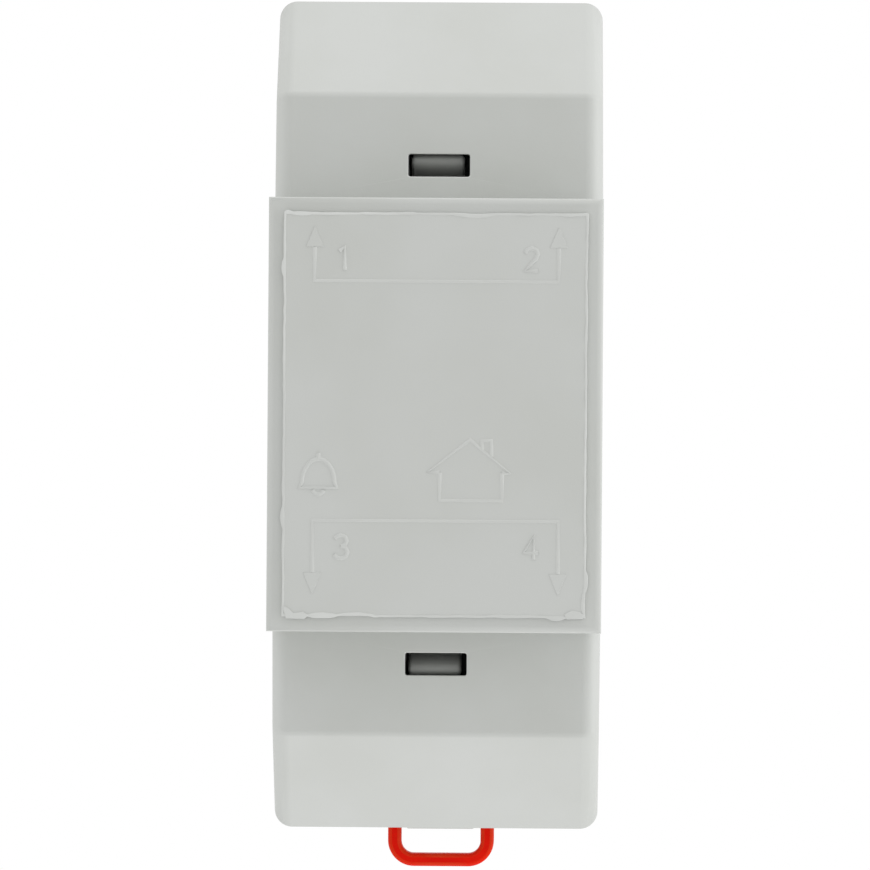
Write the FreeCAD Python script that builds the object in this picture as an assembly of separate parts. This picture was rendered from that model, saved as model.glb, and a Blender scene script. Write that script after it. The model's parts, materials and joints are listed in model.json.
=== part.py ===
import FreeCAD, Part
import math
import os

# Doorbell transformer for a 35 mm top-hat rail: a moulded rear base and front hood, two terminal covers
# that pull off forwards, a sprung rail clip, and a small laminated transformer wired to four lift clamps.
# Frame: X to the right seen from the front, Z up, and the rail's front face is the plane Y = 0.
# Depth is measured forwards from that plane, so a point at depth d has Y = -d. All sizes are millimetres.

# Case
body_width = 35.0
body_height = 88.7
nose_height = 45.4
nose_depth = 60.0
cover_rise = 19.0
seam_depth = 24.0
rear_depth = 5.5
case_wall = 1.8
nose_front_wall = 2.0
nose_edge_radius = 0.7
end_taper = 0.15
corner_radius = 1.9
fit_gap = 0.1

# Raised rating panel on the nose
panel_width = 31.8
panel_height = 42.2
panel_rise = 0.8
panel_edge_radius = 0.12

# Rail seat and fixed hook
rail_width = 35.0
rail_clearance = 0.25
rail_floor = 2.0
rail_thickness = 1.0
hook_play = 0.4
hook_reach = 1.9
hook_tip = 0.8
hook_root = 3.0
cell_rib = 1.6

# Terminal covers
cover_wall = 1.6
cover_edge_radius = 1.8
bevel_rise = 10.25
bevel_drop = 8.0
bend_radius = 1.2
window_width = 6.4
window_height = 2.5
window_radius = 0.35
window_offset = 3.8
catch_width = 5.6
catch_recess = 3.8
catch_thickness = 1.6
catch_bead = 0.35
catch_drop = 0.9
catch_past = 0.45
catch_bead_inset = 0.75
wire_notch_width = 7.0
wire_notch_height = 7.0
cover_tongue = 1.0
cover_tongue_reach = 1.6
cover_tongue_root = 3.0

# Snap hooks that hold the hood to the base
snap_width = 5.2
snap_spacing = 28.0
snap_tongue = 1.0
snap_reach = 4.0
snap_root = 3.0
snap_barb = 1.3
snap_barb_height = 1.5
snap_window_gap = 0.35

# Rail clip and its spring
clip_width = 11.85
clip_thickness = 2.6
clip_play = 0.3
clip_gap = 0.2
clip_side_gap = 0.35
clip_grip = 1.8
clip_lead_in = 1.5
clip_lip = 1.5
clip_lip_thickness = 1.4
loop_reach = 6.05
loop_bar = 1.45
loop_leg = 1.5
loop_outer_radius = 2.9
loop_inner_radius = 1.4
loop_height = 5.6
spring_drop = 9.0
spring_length = 9.0
spring_radius = 0.85
spring_wire_radius = 0.2
spring_turns = 6
runs_per_turn = 12
wire_sides = 6
spring_slot_width = 4.0
spring_nub_radius = 0.45
spring_nub_length = 1.4
post_width = 3.2
post_height = 1.6

# Terminal blocks and lift clamps
terminal_inset = 9.0
terminal_offset = 8.8
block_outer_reach = 16.9
block_tower_rise = 2.6
block_floor = 1.6
block_chamfer_start = 4.1
block_chamfer_slope = 0.9
block_side_gap = 0.3
tower_width = 10.6
deck_step = 2.2
clamp_width = 6.0
clamp_height = 5.2
clamp_wall = 0.9
clamp_rear_wall = 1.2
clamp_nut_wall = 1.6
clamp_rear_gap = 0.6
clamp_side_gap = 0.3
clamp_travel = 2.5
wire_gap = 3.2
contact_thickness = 1.0
contact_width = 4.0
contact_overhang = 3.1
contact_play = 0.3
contact_fit = 0.05
contact_tag = 3.5
screw_radius = 1.45
screw_running_gap = 0.05
screw_head_radius = 2.5
screw_head_height = 2.4
screw_head_clear = 1.2
screw_slot_width = 0.8
screw_slot_depth = 1.1
screw_well_gap = 0.3
screw_shroud = 1.3

# Transformer
leg_width = 7.0
coil_side_gap = 1.2
core_standoff = 10.0
core_gap = 0.1
cradle_spacing = 28.0
cradle_rib = 1.6
cradle_cheek = 6.0
stop_width = 8.0
stop_height = 12.0
former_gap = 0.2
former_wall = 0.9
flange_thickness = 1.0
flange_margin = 0.5
winding_margin = 1.6
winding_corner = 2.5
tape_thickness = 0.25
tape_margin = 0.6
lead_radius = 0.5
lead_gap = 0.05
lead_notch_gap = 0.3
lead_notch_depth = 4.3
lead_start_inset = 1.7
lead_start_gap = 0.2
lead_tag_inset = 1.0
fuse_length = 7.0
fuse_width = 8.0
fuse_thickness = 2.0
fuse_edge_radius = 0.5

# Places that follow from those sizes
half_width = body_width / 2
half_height = body_height / 2
nose_half = nose_height / 2
inner_half = half_width - case_wall
tub_half = nose_half - case_wall
rail_half = rail_width / 2 + rail_clearance
shoulder_depth = seam_depth + cover_rise
deck_depth = seam_depth - deck_step
window_z = nose_half + window_offset
terminal_x = half_width - terminal_inset
terminal_z = nose_half + terminal_offset
clamp_rear_depth = deck_depth + block_floor + clamp_rear_gap
contact_rear_depth = clamp_rear_depth + clamp_rear_wall + wire_gap
contact_front_depth = contact_rear_depth + contact_thickness
clamp_front_depth = contact_front_depth + contact_play + clamp_nut_wall
screw_tip_depth = contact_front_depth + screw_running_gap
head_depth = clamp_front_depth + clamp_travel + screw_head_clear + clamp_side_gap
block_front_depth = head_depth + screw_head_height + screw_shroud
block_bridge_depth = block_front_depth - block_tower_rise
hook_slot = rail_thickness + hook_play
clip_front = rail_thickness + clip_play
clip_half = clip_width / 2
guide_half = clip_half + clip_side_gap
clip_top_z = -(rail_width / 2) + clip_grip
clip_bottom_z = -half_height - loop_reach
spring_top_z = clip_top_z - spring_drop
spring_bottom_z = spring_top_z - spring_length
spring_depth = -(clip_front + clip_thickness / 2)
core_half_z = 2.5 * leg_width
core_rear_depth = core_standoff
core_front_depth = core_standoff + 6 * leg_width
core_middle_depth = core_standoff + 3 * leg_width
former_half_z = 1.5 * leg_width - former_gap
tube_half_depth = leg_width + former_gap + former_wall
flange_reach = 2 * leg_width - flange_margin - tube_half_depth
tube_half_x = inner_half - coil_side_gap - flange_reach
stack_thickness = 2 * (tube_half_x - former_wall - former_gap)
winding_build = flange_reach - winding_margin
chamber_inner_z = flange_thickness / 2
chamber_outer_z = former_half_z - flange_thickness
lead_depth = contact_rear_depth - lead_radius - lead_gap
lead_start_x = tube_half_x + winding_build - lead_start_inset
tag_z = nose_half - contact_tag

ends = {"top": 1, "bottom": -1}
sides = {"left": -1, "right": 1}
overlap = 0.5


def point(x, depth, z):
    return FreeCAD.Vector(x, -depth, z)


def around(middle, width):
    return (middle - width / 2, middle + width / 2)


def slab(x, depth, z):
    """A box between low and high values of x, depth and z."""
    corner = point(x[0], depth[1], z[0])
    return Part.makeBox(x[1] - x[0], depth[1] - depth[0], z[1] - z[0], corner)


def side_prism(outline, x):
    """A closed outline of (depth, z) points, drawn from low to high x."""
    corners = [point(x[0], depth, z) for depth, z in outline]
    face = Part.Face(Part.makePolygon(corners + corners[:1]))
    return face.extrude(FreeCAD.Vector(x[1] - x[0], 0, 0))


def front_prism(outline, depth):
    """A closed outline of (x, z) points, drawn from low to high depth."""
    corners = [point(x, depth[0], z) for x, z in outline]
    face = Part.Face(Part.makePolygon(corners + corners[:1]))
    return face.extrude(FreeCAD.Vector(0, -(depth[1] - depth[0]), 0))


def rod(x, z, depth, radius):
    """A round bar along the depth axis."""
    return Part.makeCylinder(radius, depth[1] - depth[0], point(x, depth[1], z), FreeCAD.Vector(0, 1, 0))


def rounded(shape, radius, chosen):
    """The shape with a fillet on each edge that chosen picks by its middle point and its direction."""
    picked = []
    for edge in shape.Edges:
        middle = edge.valueAt((edge.FirstParameter + edge.LastParameter) / 2)
        along = edge.tangentAt((edge.FirstParameter + edge.LastParameter) / 2)
        if chosen(middle, along):
            picked.append(edge)
    return shape.makeFillet(radius, picked)


def upside_down(shape):
    return shape.mirror(FreeCAD.Vector(0, 0, 0), FreeCAD.Vector(0, 0, 1))


def at_end(shape, end):
    """A shape modelled for the upper end, turned over for the lower one."""
    return shape if ends[end] > 0 else upside_down(shape)


def near(value, target):
    return abs(value - target) < 1e-4


def save(name, shape):
    """Writes one piece, as a single solid where it is one."""
    shape = shape.removeSplitter()
    if len(shape.Solids) == 1:
        shape = shape.Solids[0]
    if not shape.isValid():
        raise ValueError(name + " is not a valid solid")
    shape.exportStep("parts/" + name + ".step")


# Case outline shared by the base and the covers
def plan_prism(depth, inset):
    """The case seen from the front: full width beside the nose, tapering to its rounded ends."""
    wide = half_width - inset
    narrow = wide - end_taper
    high = half_height - inset
    quarter = [(wide, nose_half), (narrow, high)]
    upper = quarter + [(-x, z) for x, z in reversed(quarter)]
    outline = upper + [(-x, -z) for x, z in upper]
    prism = front_prism(outline, depth)
    radius = max(corner_radius - inset, corner_radius / 4)
    return rounded(prism, radius, lambda at, way: abs(way.y) > 0.99 and near(abs(at.z), high))


# Rear base
def rear_cells(end):
    """Three deep pockets that core out one end of the base from behind."""
    low = nose_half
    high = half_height - case_wall
    reach = (-rear_depth - 1, deck_depth - case_wall)
    middle = slab((-guide_half, guide_half), reach, (low, high))
    right = slab((guide_half + cell_rib, inner_half), reach, (low, high))
    left = slab((-inner_half, -guide_half - cell_rib), reach, (low, high))
    return at_end(middle.fuse([left, right]), end)


def fixed_hook():
    """The lip over the rail's upper edge, with a lead-in slope at its back."""
    root = rail_half + overlap
    slope = (hook_root - hook_tip) / hook_reach
    outline = [
        (-hook_slot, root),
        (-hook_slot, rail_half - hook_reach),
        (-hook_slot - hook_tip, rail_half - hook_reach),
        (-hook_slot - hook_root - overlap * slope, root),
    ]
    return side_prism(outline, (-half_width, half_width))


def clip_guide():
    """The channel that the rail clip slides in, cut into the lower end."""
    length = (-half_height - 1, -rail_half)
    return slab((-guide_half, guide_half), (-rear_depth - 1, clip_gap - clip_front), length)


def clip_guide_lips():
    """Two lips behind the clip that keep it in its channel."""
    depth = (-rear_depth, -rear_depth + clip_lip_thickness)
    length = (-half_height, -rail_half)
    right = slab((guide_half - clip_lip, guide_half + overlap), depth, length)
    left = slab((-guide_half - overlap, -guide_half + clip_lip), depth, length)
    return [left, right]


def spring_post():
    """The post that the clip's spring stands on, carried by a rib across the channel."""
    height = (spring_bottom_z - post_height, spring_bottom_z)
    rib_depth = clip_gap - clip_front
    rib = slab(around(0, 2 * guide_half + 2 * overlap), (rib_depth, deck_depth - overlap), height)
    post = slab(around(0, post_width), (-clip_front - clip_thickness, rib_depth + overlap), height)
    return [rib, post]


def core_cradles():
    """Two ribs that carry the core, with a cheek on each side of it."""
    cradles = []
    cheek_depth = core_rear_depth + cradle_cheek
    for z in (-cradle_spacing / 2, cradle_spacing / 2):
        rib = slab((-inner_half, inner_half), (rail_floor - overlap, cheek_depth), around(z, cradle_rib))
        seat_width = around(0, stack_thickness + 2 * core_gap)
        seat = slab(seat_width, (core_rear_depth, cheek_depth + 1), around(z, 2 * cradle_rib))
        cradles.append(rib.cut(seat))
    return cradles


def core_stops():
    """Blocks on the two partitions that keep the core from sliding along the case."""
    depth = (rail_floor - overlap, rail_floor + stop_height)
    stop = slab(around(0, stop_width), depth, (core_half_z + core_gap, tub_half + overlap))
    return [stop, upside_down(stop)]


def snap_windows():
    windows = []
    barb_depth = seam_depth - snap_reach + snap_barb_height / 2
    for side in sides.values():
        for z in (-snap_spacing / 2, snap_spacing / 2):
            through = sorted((side * (inner_half - overlap), side * (half_width + overlap)))
            depth = around(barb_depth, snap_barb_height + 2 * snap_window_gap)
            windows.append(slab(through, depth, around(z, snap_width + 2 * snap_window_gap)))
    return windows


def rear_base():
    base = plan_prism((-rear_depth, seam_depth), 0)
    rail_channel = slab((-body_width, body_width), (-rear_depth - 1, 0), (-rail_half, rail_half))
    tub = slab((-inner_half, inner_half), (rail_floor, seam_depth + 1), (-tub_half, tub_half))
    deck_length = (nose_half, half_height - case_wall)
    deck = slab((-inner_half, inner_half), (deck_depth, seam_depth + 1), deck_length)
    cells = [rear_cells("top"), rear_cells("bottom")]
    base = base.cut([rail_channel, tub, deck, upside_down(deck), clip_guide()] + cells + snap_windows())
    return base.fuse([fixed_hook()] + clip_guide_lips() + spring_post() + core_cradles() + core_stops())


# Front hood
def contact_notches():
    """Gaps in the hood's end walls for the four contact bars."""
    notches = []
    depth = (seam_depth - 1, contact_front_depth + contact_play)
    wall = (tub_half - overlap, nose_half + overlap)
    for side in sides.values():
        notch = slab(around(side * terminal_x, contact_width + 2 * contact_play), depth, wall)
        notches += [notch, upside_down(notch)]
    return notches


def snap_hooks():
    """Four tongues inside the base's rim, each with a barb in one of its windows."""
    hooks = []
    outer = inner_half - fit_gap
    tip = seam_depth - snap_reach
    for z in (-snap_spacing / 2, snap_spacing / 2):
        width = around(z, snap_width)
        top = seam_depth + snap_root
        tongue = slab((outer - snap_tongue, outer), (tip, top), width)
        root = slab((outer - snap_tongue, inner_half + overlap), (seam_depth, top), width)
        barb = slab((outer - overlap, outer + snap_barb), (tip, tip + snap_barb_height), width)
        hook = tongue.fuse([root, barb])
        hooks += [hook, hook.mirror(FreeCAD.Vector(0, 0, 0), FreeCAD.Vector(1, 0, 0))]
    return hooks


def cover_catches():
    """The shelf behind each cover's window, which falls away towards the nose from a bead along it."""
    front = shoulder_depth - catch_recess
    rear = front - catch_thickness
    root = nose_half - overlap
    window_end = window_z + window_height / 2
    end = window_end + catch_past
    bead_z = window_end - catch_bead_inset
    outline = [
        (rear, root),
        (front - catch_drop, root),
        (front, bead_z - catch_bead),
        (front + catch_bead, bead_z),
        (front, bead_z + catch_bead),
        (front, end),
        (rear, end),
    ]
    catch = side_prism(outline, around(0, catch_width))
    return [catch, upside_down(catch)]


def core_pads():
    """Ribs under the nose that hold the core down on its cradles."""
    depth = (core_front_depth + core_gap, nose_depth - nose_front_wall + overlap)
    return [
        slab(around(0, stack_thickness), depth, around(z, cradle_rib))
        for z in (-cradle_spacing / 2, cradle_spacing / 2)
    ]


def front_hood():
    nose = slab((-half_width, half_width), (seam_depth, nose_depth), (-nose_half, nose_half))
    nose = rounded(nose, nose_edge_radius, lambda at, way: near(at.y, -nose_depth))
    panel_depth = (nose_depth - overlap, nose_depth + panel_rise)
    panel = slab(around(0, panel_width), panel_depth, around(0, panel_height))
    panel = rounded(panel, panel_edge_radius, lambda at, way: near(at.y, -nose_depth - panel_rise))
    cavity_depth = (seam_depth - 1, nose_depth - nose_front_wall)
    cavity = slab((-inner_half, inner_half), cavity_depth, (-tub_half, tub_half))
    hood = nose.fuse(panel).cut([cavity] + contact_notches())
    return hood.fuse(snap_hooks() + cover_catches() + core_pads())


# Terminal covers
def cover_outline(inset):
    """The cover's section as (depth, z): front, slope and end, moved inwards by inset."""
    slope = math.hypot(bevel_rise, bevel_drop)
    low = nose_half + fit_gap
    front = shoulder_depth - inset
    bend_z = half_height - bevel_rise - inset * (slope - bevel_rise) / bevel_drop
    end_depth = shoulder_depth - bevel_drop - inset * (slope - bevel_drop) / bevel_rise
    end_z = half_height - inset
    return [(seam_depth, low), (front, low), (front, bend_z), (end_depth, end_z), (seam_depth, end_z)]


def cover_form(inset, depth_past, z_past):
    """The cover's solid form, with its open rear and nose sides carried on past the real edges."""
    outline = cover_outline(inset)
    (rear, low), (front, _), bend, end, _ = outline
    rear -= depth_past
    low -= z_past
    section_outline = [(rear, low), (front, low), bend, end, (rear, end[1])]
    section = side_prism(section_outline, (-body_width, body_width))
    section = rounded(section, bend_radius, lambda at, way: near(at.y, -front) and near(at.z, bend[1]))
    return section.common(plan_prism((rear - 1, front + 1), inset))


def on_cover_rim(at, way):
    """True on the edges between the cover's face and its sides and end."""
    rim = half_width - end_taper - corner_radius
    beside = abs(at.x) > rim and abs(way.y) < 0.9 and -at.y > seam_depth + 1
    across_end = near(at.z, half_height) and near(-at.y, shoulder_depth - bevel_drop)
    at_nose = near(at.z, nose_half + fit_gap)
    return (beside or across_end) and not at_nose


def cover_window():
    depth = (shoulder_depth - cover_wall - 1, shoulder_depth + 1)
    window = slab(around(0, window_width), depth, around(window_z, window_height))
    return rounded(window, window_radius, lambda at, way: abs(way.y) > 0.99)


def wire_notch(x):
    """A round-topped notch in the cover's end wall, closed by the base's rim."""
    radius = wire_notch_width / 2
    middle = seam_depth + wire_notch_height - radius
    length = (half_height - cover_wall - 1, half_height + 1)
    straight = slab(around(x, wire_notch_width), (seam_depth - 1, middle), length)
    top = Part.makeCylinder(radius, length[1] - length[0], point(x, middle, length[0]))
    return straight.fuse(top)


def cover_tongues():
    """Tongues along the cover's sides that drop inside the base's rim."""
    outer = inner_half - fit_gap
    root_depth = seam_depth + cover_tongue_root
    length = (nose_half + 2 * fit_gap + case_wall, half_height - bevel_rise)
    tongue = slab((outer - cover_tongue, outer), (seam_depth - cover_tongue_reach, root_depth), length)
    root_width = (outer - cover_tongue, half_width - cover_wall + end_taper)
    root = slab(root_width, (seam_depth, root_depth), length)
    right = tongue.fuse(root)
    return [right, right.mirror(FreeCAD.Vector(0, 0, 0), FreeCAD.Vector(1, 0, 0))]


def terminal_cover(end):
    shell = rounded(cover_form(0, 0, 0), cover_edge_radius, on_cover_rim)
    notches = [wire_notch(-terminal_x), wire_notch(terminal_x)]
    shell = shell.cut([cover_form(cover_wall, 1, 1), cover_window()] + notches)
    return at_end(shell.fuse(cover_tongues()), end)


# Rail clip and spring
def rail_clip():
    depth = (-clip_front - clip_thickness, -clip_front)
    plate = slab((-clip_half, clip_half), depth, (clip_bottom_z, clip_top_z))
    plate = rounded(
        plate, loop_outer_radius, lambda at, way: abs(way.y) > 0.99 and near(at.z, clip_bottom_z)
    )
    loop_z = (clip_bottom_z + loop_bar, clip_bottom_z + loop_bar + loop_height)
    loop = slab(around(0, clip_width - 2 * loop_leg), (depth[0] - 1, depth[1] + 1), loop_z)
    loop = rounded(loop, loop_inner_radius, lambda at, way: abs(way.y) > 0.99)
    slot_z = (spring_bottom_z - post_height - clip_gap, spring_top_z)
    slot = slab(around(0, spring_slot_width), (depth[0] - 1, depth[1] + 1), slot_z)
    slope = [
        (depth[0] - 1, clip_top_z + 1),
        (depth[0] - 1, clip_top_z - clip_lead_in - 1),
        (depth[0] + clip_lead_in + 1, clip_top_z + 1),
    ]
    lead_in = side_prism(slope, (-body_width, body_width))
    nub_end = point(0, spring_depth, spring_top_z - spring_nub_length)
    nub = Part.makeCylinder(spring_nub_radius, spring_nub_length + overlap, nub_end)
    return plate.cut([loop, slot, lead_in]).fuse(nub)


def clip_spring():
    """A coil of short straight runs, so that its facets stay few."""
    rise = spring_length - 2 * spring_wire_radius
    steps = spring_turns * runs_per_turn
    path = []
    for step in range(steps + 1):
        angle = 2 * math.pi * step / runs_per_turn
        across = spring_radius * math.cos(angle)
        depth = spring_depth + spring_radius * math.sin(angle)
        path.append(point(across, depth, spring_bottom_z + spring_wire_radius + rise * step / steps))
    along = (path[1] - path[0]).normalize()
    outwards = FreeCAD.Vector(1, 0, 0)
    upwards = along.cross(outwards)
    section = []
    for corner in range(wire_sides + 1):
        angle = 2 * math.pi * corner / wire_sides
        offset = outwards * math.cos(angle) + upwards * math.sin(angle)
        section.append(path[0] + offset * spring_wire_radius)
    return Part.makePolygon(path).makePipeShell([Part.makePolygon(section)], True, True, 1)


# Terminals
def terminal_block(end):
    """The moulding that holds one end's two lift clamps, each under its own screw well."""
    half_block = inner_half - fit_gap - cover_tongue - block_side_gap
    low = nose_half + 3 * fit_gap
    high = nose_half + block_outer_reach
    slope_z = terminal_z + block_chamfer_start
    outer_depth = block_front_depth - (high - slope_z) * block_chamfer_slope
    outline = [
        (deck_depth, low),
        (block_front_depth, low),
        (block_front_depth, slope_z),
        (outer_depth, high),
        (deck_depth, high),
    ]
    block = side_prism(outline, (-half_block, half_block))
    gap = 2 * terminal_x - tower_width
    cuts = [slab(around(0, gap), (block_bridge_depth, block_front_depth + 1), (low - 1, high + 1))]
    chamber_width = clamp_width + 2 * clamp_side_gap
    chamber_low = terminal_z - clamp_height / 2 - clamp_side_gap
    chamber_depth = (deck_depth + block_floor, clamp_front_depth + clamp_travel + clamp_side_gap)
    well_depth = (chamber_depth[1] - overlap, block_front_depth + 1)
    slot_width = contact_width + 2 * contact_fit
    slot_depth = (contact_rear_depth - contact_fit, contact_front_depth + contact_fit)
    for side in sides.values():
        x = side * terminal_x
        cuts.append(slab(around(x, chamber_width), chamber_depth, (chamber_low, high + 1)))
        cuts.append(rod(x, terminal_z, well_depth, screw_head_radius + screw_well_gap))
        cuts.append(slab(around(x, slot_width), slot_depth, (low - 1, chamber_low + overlap)))
    return at_end(block.cut(cuts), end)


def contact_bar(end, side):
    """The flat bar that the wire is clamped against, with a solder tag at its inner end."""
    x = sides[side] * terminal_x
    length = (tag_z, terminal_z + contact_overhang)
    bar = slab(around(x, contact_width), (contact_rear_depth, contact_front_depth), length)
    return at_end(bar, end)


def lift_clamp(end, side):
    """The cage that the screw draws forwards, closing on the wire behind the contact bar."""
    x = sides[side] * terminal_x
    z = around(terminal_z, clamp_height)
    cage = slab(around(x, clamp_width), (clamp_rear_depth, clamp_front_depth), z)
    hollow_depth = (clamp_rear_depth + clamp_rear_wall, clamp_front_depth - clamp_nut_wall)
    hollow = slab(around(x, clamp_width - 2 * clamp_wall), hollow_depth, (z[0] - 1, z[1] + 1))
    bore_depth = (hollow_depth[1] - overlap, clamp_front_depth + 1)
    bore = rod(x, terminal_z, bore_depth, screw_radius + screw_running_gap)
    return at_end(cage.cut([hollow, bore]), end)


def terminal_screw(end, side):
    x = sides[side] * terminal_x
    shank = rod(x, terminal_z, (screw_tip_depth, head_depth + overlap), screw_radius)
    head = rod(x, terminal_z, (head_depth, head_depth + screw_head_height), screw_head_radius)
    slot_depth = (head_depth + screw_head_height - screw_slot_depth, head_depth + screw_head_height + 1)
    slot = slab(around(x, 3 * screw_head_radius), slot_depth, around(terminal_z, screw_slot_width))
    return at_end(shank.fuse(head.cut(slot)), end)


# Transformer
def e_stack():
    """The E laminations, with their yoke at the lower end."""
    stack = around(0, stack_thickness)
    top_z = core_half_z - leg_width
    block = slab(stack, (core_rear_depth, core_front_depth), (-core_half_z, top_z))
    length = (-core_half_z + leg_width, core_half_z)
    windows = []
    for step in (-1.5, 1.5):
        middle = core_middle_depth + step * leg_width
        windows.append(slab(around(0, 2 * stack_thickness), around(middle, leg_width), length))
    return block.cut(windows)


def i_stack():
    stack = around(0, stack_thickness)
    return slab(stack, (core_rear_depth, core_front_depth), (core_half_z - leg_width, core_half_z))


def coil_ring(inner, outer, z, corner):
    """A ring of the given growth over the former's tube, with rounded outer corners."""
    def grown(by):
        depth = around(core_middle_depth, 2 * (tube_half_depth + by))
        return slab(around(0, 2 * (tube_half_x + by)), depth, z)

    solid = grown(outer)
    if corner:
        solid = rounded(solid, corner, lambda at, way: abs(way.z) > 0.99)
    core = grown(inner)
    if inner > 0:
        core = rounded(core, corner - (outer - inner), lambda at, way: abs(way.z) > 0.99)
    return solid.cut(core)


def lead_notch(side):
    """A notch in the former's flange that one lead comes out through."""
    reach = tube_half_x + flange_reach
    x = sorted((side * (reach - lead_notch_depth), side * (reach + 1)))
    width = 2 * (lead_radius + lead_notch_gap)
    notch = slab(x, around(lead_depth, width), (chamber_outer_z - overlap, former_half_z + overlap))
    return [notch, upside_down(notch)]


def coil_former():
    """The tube with two end flanges and a divider between the windings."""
    length = (-former_half_z, former_half_z)
    tube = coil_ring(-former_wall, 0, length, 0)
    flanges = [
        (-former_half_z, -chamber_outer_z),
        (-chamber_inner_z, chamber_inner_z),
        (chamber_outer_z, former_half_z),
    ]
    former = tube.fuse([coil_ring(-former_wall, flange_reach, z, 0) for z in flanges])
    return former.cut(lead_notch(-1) + lead_notch(1))


def winding(end):
    return at_end(coil_ring(0, winding_build, (chamber_inner_z, chamber_outer_z), winding_corner), end)


def winding_tape(end):
    z = (chamber_inner_z + tape_margin, chamber_outer_z - tape_margin)
    ring = coil_ring(winding_build, winding_build + tape_thickness, z, winding_corner + tape_thickness)
    return at_end(ring, end)


def thermal_fuse():
    """The flat cut-out that lies on the primary winding's right side."""
    inner = tube_half_x + winding_build + tape_thickness
    middle = -(chamber_inner_z + chamber_outer_z) / 2
    depth = around(lead_depth + fuse_width / 2 - 3 * lead_radius, fuse_width)
    body = slab((inner, inner + fuse_thickness), depth, around(middle, fuse_length))
    return rounded(body, fuse_edge_radius, lambda at, way: abs(way.x) > 0.99)


def winding_lead(end, side):
    """The short straight lead from a winding's end, through the flange and onto the solder tag."""
    hand = sides[side]
    start_z = chamber_outer_z
    start_x = lead_start_x
    if (end, side) == ("bottom", "right"):
        start_z = (chamber_inner_z + chamber_outer_z + fuse_length) / 2
        start_x = tube_half_x + winding_build + tape_thickness + fuse_thickness / 2
    start = point(hand * start_x, lead_depth, start_z + lead_start_gap)
    tag_x = terminal_x + contact_width / 2 - lead_tag_inset
    run = point(hand * tag_x, lead_depth, tub_half - lead_notch_gap) - start
    wire = Part.makeCylinder(lead_radius, run.Length, start, run)
    return at_end(wire, end)


def build():
    os.makedirs("parts", exist_ok=True)
    save("rear_base", rear_base())
    save("front_hood", front_hood())
    save("rail_clip", rail_clip())
    save("clip_spring", clip_spring())
    save("e_lamination_stack", e_stack())
    save("i_lamination_stack", i_stack())
    save("coil_former", coil_former())
    save("secondary_winding", winding("top"))
    save("primary_winding", winding("bottom"))
    save("secondary_tape", winding_tape("top"))
    save("primary_tape", winding_tape("bottom"))
    save("thermal_fuse", thermal_fuse())
    for end in ends:
        save(end + "_terminal_cover", terminal_cover(end))
        save(end + "_terminal_block", terminal_block(end))
        for side in sides:
            place = end + "_" + side
            save(place + "_contact", contact_bar(end, side))
            save(place + "_clamp", lift_clamp(end, side))
            save(place + "_screw", terminal_screw(end, side))
            save(place + "_lead", winding_lead(end, side))


build()
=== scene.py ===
import bpy
import bmesh
import json
import math
from mathutils import Matrix, Vector, noise


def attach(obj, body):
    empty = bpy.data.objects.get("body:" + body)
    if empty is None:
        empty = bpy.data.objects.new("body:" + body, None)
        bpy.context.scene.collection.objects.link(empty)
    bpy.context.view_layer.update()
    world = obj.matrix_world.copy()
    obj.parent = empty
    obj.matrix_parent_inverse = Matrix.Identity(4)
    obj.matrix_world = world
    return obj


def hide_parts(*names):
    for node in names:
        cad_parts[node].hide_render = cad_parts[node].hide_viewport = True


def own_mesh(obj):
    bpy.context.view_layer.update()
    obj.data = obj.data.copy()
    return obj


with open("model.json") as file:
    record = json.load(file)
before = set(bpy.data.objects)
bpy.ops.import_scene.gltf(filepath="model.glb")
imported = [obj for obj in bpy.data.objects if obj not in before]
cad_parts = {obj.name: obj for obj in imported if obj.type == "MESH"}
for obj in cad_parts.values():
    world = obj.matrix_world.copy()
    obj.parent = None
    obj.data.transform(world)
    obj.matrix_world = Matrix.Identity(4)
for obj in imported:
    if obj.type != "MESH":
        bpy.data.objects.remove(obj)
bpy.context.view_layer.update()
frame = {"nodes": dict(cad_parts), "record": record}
mm = 0.001
near = 0.001  # mm, anything closer is at the same place
ends = ("top", "bottom")
sides = ("left", "right")
print("frame loaded:", len(frame["nodes"]), "nodes")


# camera: a long lens, a touch to the right, as the photograph is taken
photoView = {
    "frame": 870,  # pixels
    "focal": 8143,  # pixels
    "sensor": 36,  # mm
    "clip": (0.05, 30),  # metres
    "away": 850,  # mm from the nose
    "aim": (0.03, -60.0, -2.163),
    "toRight": 0.93,  # degrees
    "fromBelow": 0.03,
    "roll": 0.39,
}


def addCamera(view):
    data = bpy.data.cameras.new("photoCamera")
    data.sensor_width = view["sensor"]
    data.lens = view["sensor"] * view["focal"] / view["frame"]
    data.clip_start, data.clip_end = view["clip"]
    camera = bpy.data.objects.new("photoCamera", data)
    bpy.context.scene.collection.objects.link(camera)
    yaw = math.radians(view["toRight"])
    low = math.radians(view["fromBelow"])
    back = Vector((math.sin(yaw) * math.cos(low), -math.cos(yaw) * math.cos(low), -math.sin(low)))
    camera.location = Vector(view["aim"]) * mm + back * view["away"] * mm
    turn = (-back).to_track_quat("-Z", "Y").to_matrix()
    camera.rotation_euler = (turn @ Matrix.Rotation(math.radians(view["roll"]), 3, "Z")).to_euler()
    bpy.context.scene.camera = camera


addCamera(photoView)
bpy.context.scene.view_settings.view_transform = "Standard"
print("camera set")


# finishes
def linear(red, green, blue):
    def one(value):
        value /= 255
        return value / 12.92 if value <= 0.04045 else ((value + 0.055) / 1.055) ** 2.4
    return (one(red), one(green), one(blue), 1)


def addNode(tree, kind, sockets=None, **settings):
    node = tree.nodes.new("ShaderNode" + kind)
    for name, value in settings.items():
        setattr(node, name, value)
    for name, value in (sockets or {}).items():
        node.inputs[name].default_value = value
    return node


def addNoise(tree, place, size, detail):
    node = addNode(tree, "TexNoise", {"Scale": 1 / (size * mm), "Detail": detail})
    tree.links.new(place, node.inputs["Vector"])
    return node.outputs["Fac"]


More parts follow.
